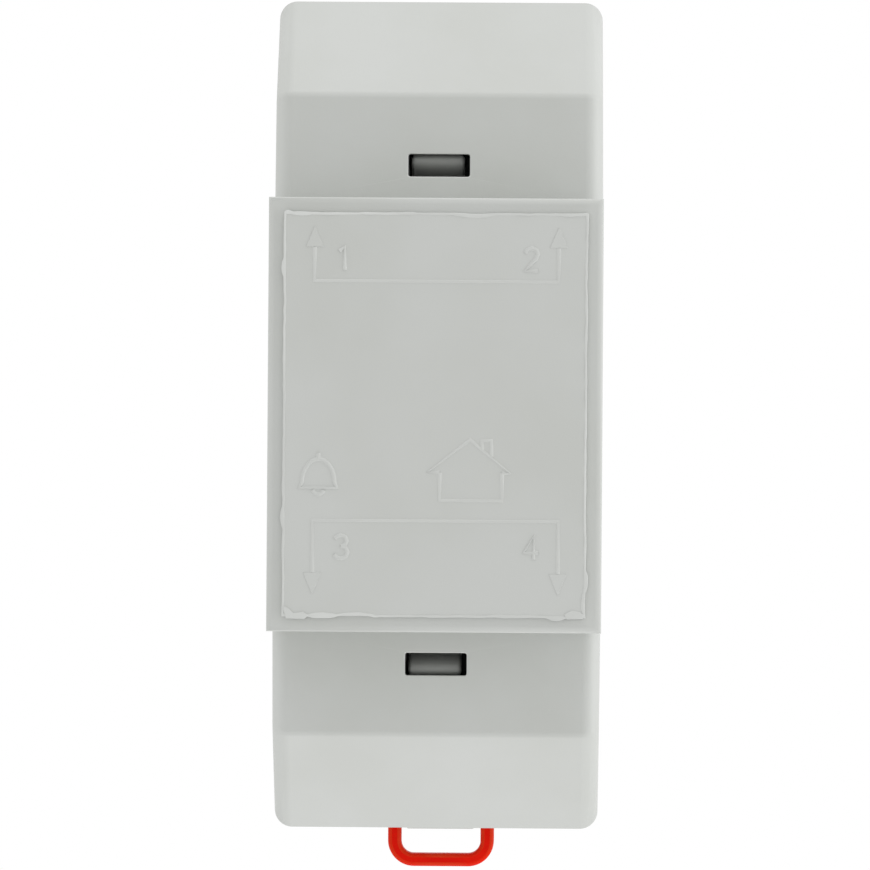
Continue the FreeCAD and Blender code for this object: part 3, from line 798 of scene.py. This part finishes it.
def addArrows(work, shape):
    half = shape["arrowWidth"] / 2
    foot = panelShape["face"] - shape["arrowSunk"]
    heads = []
    for left, right, bar, stem, tip in shape["brackets"]:
        for x in (left, right):
            corners = ((x - half, stem), (x + half, stem), (x, tip))
            heads.append(work.faces.new([work.verts.new(at(across, foot, z)) for across, z in corners]))
    # the arrowheads are painted a little paler, a painted highlight
    markWearAndSheen(work, heads, shape["arrowSheen"])
    tops = raiseFrom(work, heads)
    bmesh.ops.translate(work, verts=tops, vec=(0, -(shape["arrowSunk"] + shape["arrowRise"]) * mm, 0))
    bmesh.ops.recalc_face_normals(work, faces=work.faces[:])
    rims = unique(edge for vert in tops for edge in vert.link_edges if edge.other_vert(vert) in tops)
    roundEdges(work, rims, shape["arrowEdge"])


def makeMarks(shape):
    work = bmesh.new()
    lowLines = houseLines(shape["house"])
    for left, right, bar, stem, tip in shape["brackets"]:
        lowLines.append(([(left, stem), (left, bar), (right, bar), (right, stem)], False))
    highLines = bellLines(shape["bell"])
    for number, x, z in shape["numbers"]:
        for stroke in shape["strokes"][number]:
            highLines.append(([(x + across, z + up) for across, up in stroke], False))
    work.from_mesh(drawLines(lowLines, shape["low"], shape["lineRounds"]))
    work.from_mesh(drawLines(highLines, shape["high"], shape["lineRounds"]))
    # the lines are painted paler, a painted highlight on their relief
    markWearAndSheen(work, work.faces, shape["paintedSheen"])
    addArrows(work, shape)
    return work


addPiece(makeMarks(markShape), "panel_marks", "case", "case_plastic")
print("marks made")


# terminal screws: the head from the part, with a turned shank and a rolled thread
screwShape = {
    "across": 8.5, "along": 31.5, "headFrom": 35.2, "intoHead": 0.05, "tip": 29.45, "tipTaper": 0.3,
    "core": 1.24, "crest": 1.44, "point": 1.0, "steps": 20, "merge": 0.0005,
    "pitch": 0.5, "flank": 0.42,  # half the ridge as a share of the pitch
    "ridgeSunk": 0.02, "threadFrom": 29.9, "threadTo": 34.7, "edge": 0.12, "shortest": 0.3,
}
clampShape = {"edge": 0.15, "shortest": 0.5}


def turnShank(work, x, z, shape):
    outline = (
        (0, shape["tip"]),
        (shape["point"], shape["tip"]),
        (shape["core"], shape["tip"] + shape["tipTaper"]),
        (shape["core"], shape["headFrom"] + shape["intoHead"]),
    )
    verts = [work.verts.new(at(x + radius, depth, z)) for radius, depth in outline]
    edges = [work.edges.new(pair) for pair in zip(verts, verts[1:])]
    bmesh.ops.spin(
        work, geom=verts + edges, cent=at(x, 0, z), axis=(0, -1, 0), dvec=(0, 0, 0), angle=2 * math.pi,
        steps=shape["steps"], use_merge=True,
    )


def rollThread(work, x, z, shape):
    half = shape["pitch"] * shape["flank"]
    root = shape["core"] - shape["ridgeSunk"]
    profile = ((root, 0), (shape["crest"], half), (root, 2 * half))
    ridge = work.faces.new([
        work.verts.new(at(x + radius, shape["threadFrom"] + rise, z)) for radius, rise in profile
    ])
    turns = (shape["threadTo"] - shape["threadFrom"]) / shape["pitch"]
    steps = round(turns * shape["steps"])
    bmesh.ops.spin(
        work, geom=[ridge], cent=at(x, 0, z), axis=(0, -1, 0), angle=2 * math.pi * turns, steps=steps,
        dvec=(0, -turns * shape["pitch"] / steps * mm, 0),
    )


def makeScrew(node, x, z, shape):
    work = cadCopy(node)
    cutPlane(work, work.faces, at(0, shape["headFrom"], 0), (0, 1, 0), clear=True)
    bmesh.ops.holes_fill(work, edges=[edge for edge in work.edges if edge.is_boundary], sides=0)
    breakEdges(work, shape["edge"], shape["shortest"])
    head = set(work.faces)
    turnShank(work, x, z, shape)
    rollThread(work, x, z, shape)
    added = [face for face in work.faces if face not in head]
    verts = unique(vert for face in added for vert in face.verts)
    bmesh.ops.remove_doubles(work, verts=verts, dist=shape["merge"] * mm)
    bmesh.ops.recalc_face_normals(work, faces=[face for face in added if face.is_valid])
    return work


for end in ends:
    for side in sides:
        name = end + "_" + side
        x = screwShape["across"] * (1 if side == "right" else -1)
        z = screwShape["along"] * (1 if end == "top" else -1)
        work = makeScrew(name + "_screw", x, z, screwShape)
        addPiece(work, name + "_screw_turned", name + "_screw", "screw_steel", [name + "_screw"], crease=35)
        work = cadCopy(name + "_clamp")
        breakEdges(work, clampShape["edge"], clampShape["shortest"])
        addPiece(work, name + "_clamp_cage", name + "_clamp", "clamp_steel", [name + "_clamp"])
print("screws and clamps made")


# clip spring: closed end turns and an open middle
springShape = {
    "radius": 0.85, "wire": 0.2, "wireSides": 8, "behind": 2.6, "low": -33.7, "high": -24.7,
    "pulled": 3.0, "turns": 6, "steps": 18,
}


def makeSpring(shape):
    work = bmesh.new()
    ring = bmesh.ops.create_circle(
        work, cap_ends=True, radius=shape["wire"] * mm, segments=shape["wireSides"],
    )["verts"]
    bmesh.ops.rotate(work, verts=ring, cent=(0, 0, 0), matrix=Matrix.Rotation(math.pi / 2, 3, "X"))
    start = at(shape["radius"], -shape["behind"], shape["low"] + shape["wire"])
    bmesh.ops.translate(work, verts=ring, vec=start)
    tip = work.faces[:]
    closed = 2 * shape["wire"]
    openRise = shape["high"] - shape["low"] - 3 * closed  # without both end turns and the wire itself
    for turns, rise in ((1, closed), (shape["turns"], openRise), (1, closed)):
        steps = turns * shape["steps"]
        spun = bmesh.ops.spin(
            work, geom=tip, cent=at(0, -shape["behind"], 0), axis=(0, 0, 1), steps=steps,
            angle=2 * math.pi * turns, dvec=(0, 0, rise / steps * mm),
        )
        tip = ofKind(spun["geom_last"], bmesh.types.BMFace)
    bmesh.ops.recalc_face_normals(work, faces=work.faces[:])
    return work


spring = addPiece(makeSpring(springShape), "clip_spring_coil", "rail_clip", "spring_steel", ["clip_spring"])
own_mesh(spring)
print("spring made")


# core laminations: the side outline of each stack, sheared into sheets
sheetShape = {"pitch": 0.5, "thick": 0.46, "half": 8.0, "sideways": 0.9, "uneven": 0.03, "seed": 3}


def makeSheets(node, shape):
    work = cadCopy(node)
    side = largest(face for face in work.faces if face.normal.x > shape["sideways"])
    bmesh.ops.delete(work, geom=[face for face in work.faces if face is not side], context="FACES")
    bmesh.ops.translate(work, verts=raiseFrom(work, [side]), vec=(-shape["thick"] * mm, 0, 0))
    bmesh.ops.recalc_face_normals(work, faces=work.faces[:])
    first = work.verts[:] + work.edges[:] + work.faces[:]
    for count in range(1, round(2 * shape["half"] / shape["pitch"])):
        moved = ofKind(bmesh.ops.duplicate(work, geom=first)["geom"], bmesh.types.BMVert)
        slip = noise.random_unit_vector() * shape["uneven"]
        bmesh.ops.translate(work, verts=moved, vec=Vector((-count * shape["pitch"], slip.y, slip.z)) * mm)
    return work


noise.seed_set(sheetShape["seed"])
for node in ("e_lamination_stack", "i_lamination_stack"):
    name = node.replace("stack", "sheets")
    addPiece(makeSheets(node, sheetShape), name, "case", "lamination_steel", [node])
print("core made")


# copies of the other mouldings, with their sharp edges broken as a mould leaves them
mouldings = {
    # node: body, slot, edge radius, steps, shortest edge that is broken, where holed faces are halved
    "rear_base": ("case", "case_plastic", 0.2, 2, 1.0, ()),
    "rail_clip": ("rail_clip", "clip_plastic", 0.45, 4, 0.1, (0,)),
    "top_terminal_block": ("case", "block_plastic", 0.15, 2, 0.5, ()),
    "bottom_terminal_block": ("case", "block_plastic", 0.15, 2, 0.5, ()),
}
# the lip that guides the clip below the lower end
guideLip = {"half": 3.8, "back": 0.9, "front": 4.0, "low": -45.95, "high": -44.0, "edge": 0.25}
for node, (body, slot, radius, steps, shortest, halvedAt) in mouldings.items():
    work = cadCopy(node, halvedAt)
    breakEdges(work, radius, shortest, steps)
    if node == "rear_base":
        low = at(-guideLip["half"], guideLip["front"], guideLip["low"])
        high = at(guideLip["half"], -guideLip["back"], guideLip["high"])
        addBlock(work, low, high, guideLip["edge"])
    addPiece(work, node + "_moulding", body, slot, [node])
print("mouldings made:", len(mouldings))

# the rest of the inside keeps its form and gets its finish
slotOf = {part["node"]: part["material_slot"] for part in frame["record"]["subparts"]}
for node, piece in frame["nodes"].items():
    if not piece.hide_render:
        for holder in piece.material_slots:
            holder.material = finishes[slotOf[node]]
print("inside finished")


# stage: white all round for the camera, soft panels above, below and at both sides
studio = {  # places and sizes in metres
    "fill": 0.8,
    "centre": (0, -0.028, 0),
    "panelSize": 0.5,
    "panels": {  # place, light level at the object
        "abovePanel": ((0, -0.13, 0.6), 0.33),
        "belowPanel": ((0, -0.13, -0.6), 0.33),
        "rightPanel": ((0.6, -0.13, 0), 0.47),
        "leftPanel": ((-0.6, -0.13, 0), 0.15),
    },
    "floorHeight": -1.2, "floorSize": 2.5, "floorParts": 4,
    "floorColour": linear(240, 240, 240), "floorTint": linear(246, 246, 246),
    "floorPatch": 300,  # mm
    "floorDetail": 2, "floorRough": 0.9,
}


def addPanelLight(name, place, level):
    light = bpy.data.lights.new(name, "AREA")
    light.shape = "SQUARE"
    light.size = studio["panelSize"]
    reach = Vector(place) - Vector(studio["centre"])
    light.energy = level * math.pi ** 2 * reach.length_squared
    lamp = bpy.data.objects.new(name, light)
    bpy.context.scene.collection.objects.link(lamp)
    lamp.location = place
    lamp.rotation_euler = reach.to_track_quat("Z", "Y").to_euler()
    lamp.visible_camera = False


def lightWorld():
    world = bpy.data.worlds.new("studioWorld")
    bpy.context.scene.world = world
    world.use_nodes = True
    tree = world.node_tree
    fill = tree.nodes["Background"]
    fill.inputs["Color"].default_value = (1, 1, 1, 1)
    fill.inputs["Strength"].default_value = studio["fill"]
    white = addNode(tree, "Background", {"Color": (1, 1, 1, 1), "Strength": 1.0})
    path = addNode(tree, "LightPath")
    seen = path.outputs["Is Camera Ray"]
    for ray in ("Is Glossy Ray", "Is Transmission Ray"):
        seen = combine(tree, "MAXIMUM", seen, path.outputs[ray])
    choose = addNode(tree, "MixShader")
    for socket, source in zip(choose.inputs, (seen, fill.outputs[0], white.outputs[0])):
        tree.links.new(source, socket)
    tree.links.new(choose.outputs[0], tree.nodes["World Output"].inputs["Surface"])


def floorPaper():
    paper = bpy.data.materials.new("floorPaper")
    paper.use_nodes = True
    tree = paper.node_tree
    coords = addNode(tree, "TexCoord")
    patches = addNoise(tree, coords.outputs["Object"], studio["floorPatch"], studio["floorDetail"])
    colour = blendColour(tree, spread(tree, patches, 0, 1), studio["floorColour"], studio["floorTint"])
    shader = tree.nodes["Principled BSDF"]
    tree.links.new(colour, shader.inputs["Base Color"])
    shader.inputs["Roughness"].default_value = studio["floorRough"]
    return paper


def addFloor():
    work = bmesh.new()
    parts = studio["floorParts"]
    bmesh.ops.create_grid(work, x_segments=parts, y_segments=parts, size=studio["floorSize"])
    bmesh.ops.translate(work, verts=work.verts[:], vec=(0, 0, studio["floorHeight"]))
    mesh = bpy.data.meshes.new("studioFloor")
    work.to_mesh(mesh)
    work.free()
    mesh.materials.append(floorPaper())
    floor = bpy.data.objects.new("studioFloor", mesh)
    bpy.context.scene.collection.objects.link(floor)


for name, (place, level) in studio["panels"].items():
    addPanelLight(name, place, level)
lightWorld()
addFloor()
print("stage lit")
